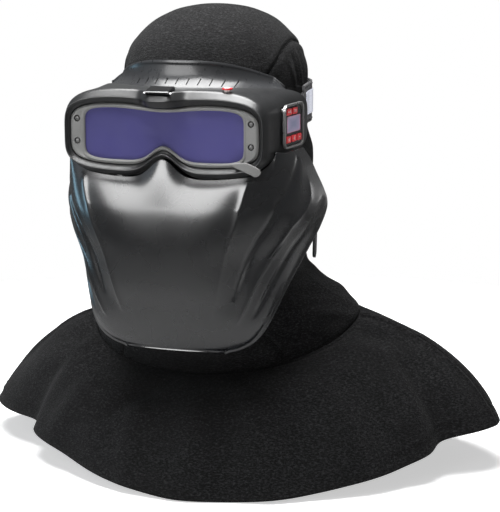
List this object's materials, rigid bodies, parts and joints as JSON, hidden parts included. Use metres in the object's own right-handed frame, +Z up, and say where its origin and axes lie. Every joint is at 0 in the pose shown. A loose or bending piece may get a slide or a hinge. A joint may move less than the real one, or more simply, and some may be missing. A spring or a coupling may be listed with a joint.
{
  "type": "welding goggles with face shield and hood",
  "caption": "Auto-darkening welding goggles with a clip-on face shield, strapped over a knit hood with a shoulder cape.",
  "frame": {"origin": "inside of the crown, where the hood rests on the top of the wearer's head", "axes": "+Z up, -Y the way the wearer faces, +X the wearer's left"},
  "size_m": [0.4788, 0.3037, 0.4064],
  "materials": {
    "knit": "brushed knit",
    "elastic": "woven elastic",
    "reflective_patch": "satin film",
    "housing": "satin moulded",
    "seal": "satin",
    "frame_grey": "satin moulded",
    "cover_glass": "polished, tinted",
    "shield": "gloss",
    "black": "gloss",
    "clear": "polished",
    "silver": "satin",
    "steel": "bright",
    "red": "gloss",
    "white": "gloss",
    "board": "solder mask"
  },
  "bodies": {
    "hood": {"crown_panel": "knit", "side_panel_left": "knit", "side_panel_right": "knit", "neck_panel_left": "knit", "neck_panel_right": "knit", "throat_panel": "knit", "face_binding": "elastic", "cape_front": "knit", "cape_back": "knit", "neck_tab": "elastic", "strap_left": "elastic", "strap_right": "elastic", "strap_back": "elastic", "strap_label": "reflective_patch"},
    "goggles": {"goggle_housing": "housing", "brow_seal": "seal", "face_gasket": "seal", "filter_cartridge": "black", "filter_carrier": "black", "carrier_screw_1": "steel", "carrier_screw_2": "steel", "carrier_screw_3": "steel", "carrier_screw_4": "steel", "inner_cover_lens": "clear", "arc_sensor_1": "black", "arc_sensor_2": "black", "arc_sensor_3": "black", "arc_sensor_4": "black", "panel_bezel": "silver", "panel_fascia": "black", "display_window": "clear", "control_board": "board", "battery_tray": "black", "battery_cell_1": "steel", "battery_cell_2": "steel", "door_pin": "steel", "power_button_ring": "red", "latch_pin": "steel", "strap_anchor_left": "black", "strap_anchor_right": "black"},
    "window": {"lens_frame": "frame_grey", "cover_lens": "cover_glass"},
    "latch": {"lens_latch": "black"},
    "shield": {"face_shield": "shield", "shield_clip_left": "black", "shield_clip_right": "black"},
    "door": {"battery_door": "housing"},
    "slider": {"strap_slider": "black"},
    "power": {"power_button": "white"},
    "mode": {"mode_button": "red"},
    "set": {"set_button": "red"},
    "select": {"select_button": "red"},
    "up": {"up_button": "red"},
    "down": {"down_button": "red"}
  },
  "joints": [
    {"name": "goggles_pull", "type": "slide", "parent": "hood", "child": "goggles", "axis": [0, -1, 0], "range_m": [0, 0.04], "stiffness_N_per_m": 150, "springref_m": -0.01, "deforming": ["strap_left", "strap_right", "strap_label"]},
    {"name": "shield_unclip", "type": "slide", "parent": "goggles", "child": "shield", "axis": [0, -0.8, -0.6], "range_m": [0, 0.12]},
    {"name": "window_pull", "type": "slide", "parent": "goggles", "child": "window", "axis": [0, -1, 0], "range_m": [0, 0.05]},
    {"name": "latch_turn", "type": "hinge", "parent": "goggles", "child": "latch", "pos_m": [0, -0.1446, -0.0642], "axis": [1, 0, 0], "range_deg": [0, 60], "stiffness_Nm_per_rad": 0.02, "springref_deg": -17.19},
    {"name": "door_turn", "type": "hinge", "parent": "goggles", "child": "door", "pos_m": [-0.0942, -0.07614, -0.1114], "axis": [0.0663, -0.9978, 0], "range_deg": [0, 100]},
    {"name": "slider_slide", "type": "hinge", "parent": "hood", "child": "slider", "pos_m": [0, 0.008, -0.0833], "axis": [0, 0, 1], "range_deg": [-40, 15]},
    {"name": "power_press", "type": "slide", "parent": "goggles", "child": "power", "axis": [0, 0, -1], "range_m": [0, 0.0008], "stiffness_N_per_m": 300},
    {"name": "mode_press", "type": "slide", "parent": "goggles", "child": "mode", "axis": [-0.9978, 0.0663, 0], "range_m": [0, 0.0006], "stiffness_N_per_m": 300},
    {"name": "set_press", "type": "slide", "parent": "goggles", "child": "set", "axis": [-0.9978, 0.0663, 0], "range_m": [0, 0.0006], "stiffness_N_per_m": 300},
    {"name": "select_press", "type": "slide", "parent": "goggles", "child": "select", "axis": [-0.9978, 0.0663, 0], "range_m": [0, 0.0006], "stiffness_N_per_m": 300},
    {"name": "up_press", "type": "slide", "parent": "goggles", "child": "up", "axis": [-0.9978, 0.0663, 0], "range_m": [0, 0.0006], "stiffness_N_per_m": 300},
    {"name": "down_press", "type": "slide", "parent": "goggles", "child": "down", "axis": [-0.9978, 0.0663, 0], "range_m": [0, 0.0006], "stiffness_N_per_m": 300}
  ]
}
